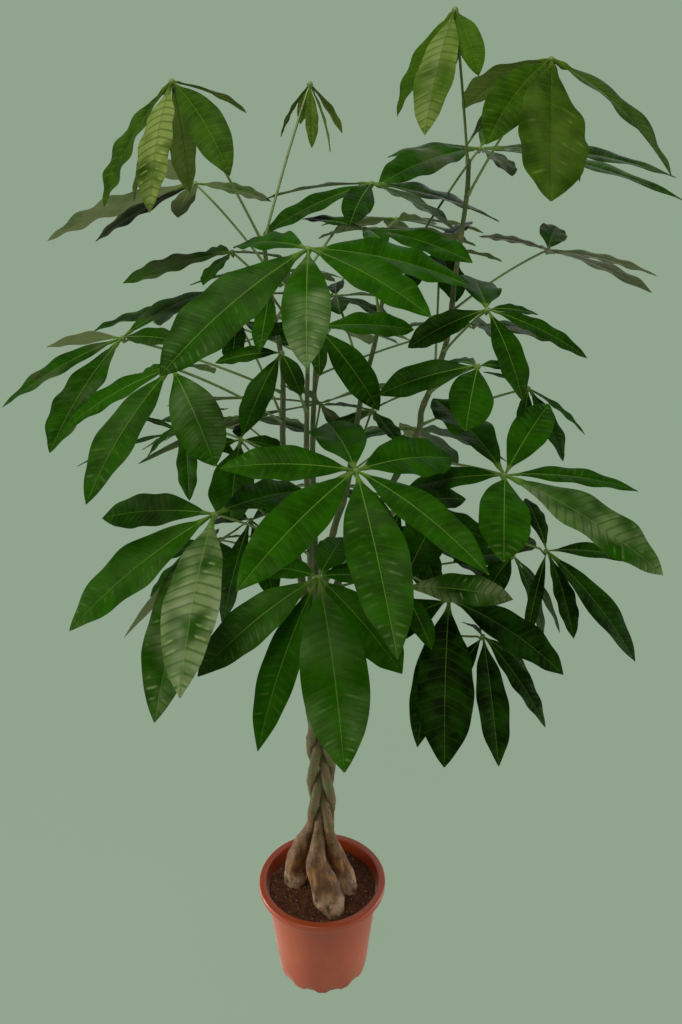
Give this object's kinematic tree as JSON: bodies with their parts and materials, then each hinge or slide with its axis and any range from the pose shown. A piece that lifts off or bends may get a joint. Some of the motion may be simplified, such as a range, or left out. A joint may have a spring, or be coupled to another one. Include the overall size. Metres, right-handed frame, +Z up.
{
  "type": "potted money tree",
  "caption": "Young braided-trunk money tree with a loose crown of palm-shaped leaves, in a round terracotta-coloured nursery pot.",
  "frame": {"origin": "middle of the pot's underside, where it rests on the floor", "axes": "+Z up along the trunk, -Y towards the plant's front as pictured, +X to the right seen from the front"},
  "size_m": [0.8334, 0.8584, 1.279],
  "materials": {
    "pot": "satin",
    "soil": "matte",
    "bark": "matte",
    "young_leaf": "satin",
    "leaf": "satin"
  },
  "bodies": {
    "root": {"pot": "pot", "soil": "soil", "trunk_left": "bark", "trunk_front": "bark", "trunk_right": "bark", "trunk_middle": "bark", "trunk_back": "bark", "leaf_right_1": "young_leaf", "leaf_right_2": "young_leaf", "leaf_left_1": "young_leaf", "leaf_left_2": "young_leaf", "leaf_left_3": "leaf", "leaf_middle_1": "leaf", "leaf_left_4": "leaf", "leaf_middle_2": "leaf", "leaf_front_1": "leaf", "leaf_left_5": "leaf", "leaf_left_6": "leaf", "leaf_left_7": "leaf", "leaf_front_2": "leaf", "leaf_front_3": "leaf", "leaf_middle_3": "leaf", "leaf_right_3": "leaf", "leaf_right_4": "leaf", "leaf_right_5": "leaf", "leaf_right_6": "leaf", "leaf_front_4": "leaf", "leaf_left_8": "leaf", "leaf_front_5": "leaf", "leaf_middle_4": "leaf", "leaf_right_7": "leaf", "leaf_right_8": "leaf", "leaf_right_9": "leaf", "leaf_right_10": "leaf", "leaf_back_1": "leaf", "leaf_left_9": "leaf", "leaf_left_10": "leaf", "leaf_left_11": "leaf", "leaf_middle_5": "leaf", "leaf_right_12": "leaf", "leaf_right_13": "leaf", "leaf_left_12": "leaf", "leaf_middle_6": "leaf", "leaf_middle_7": "leaf", "leaf_left_13": "leaf", "leaf_right_14": "leaf", "leaf_back_2": "leaf", "leaf_back_3": "leaf", "leaf_back_4": "leaf", "leaf_back_5": "leaf", "leaf_back_6": "leaf", "leaf_back_7": "leaf", "leaf_back_8": "leaf", "leaf_back_9": "leaf", "leaf_back_10": "leaf", "leaf_right_11": "leaf"}
  },
  "joints": []
}
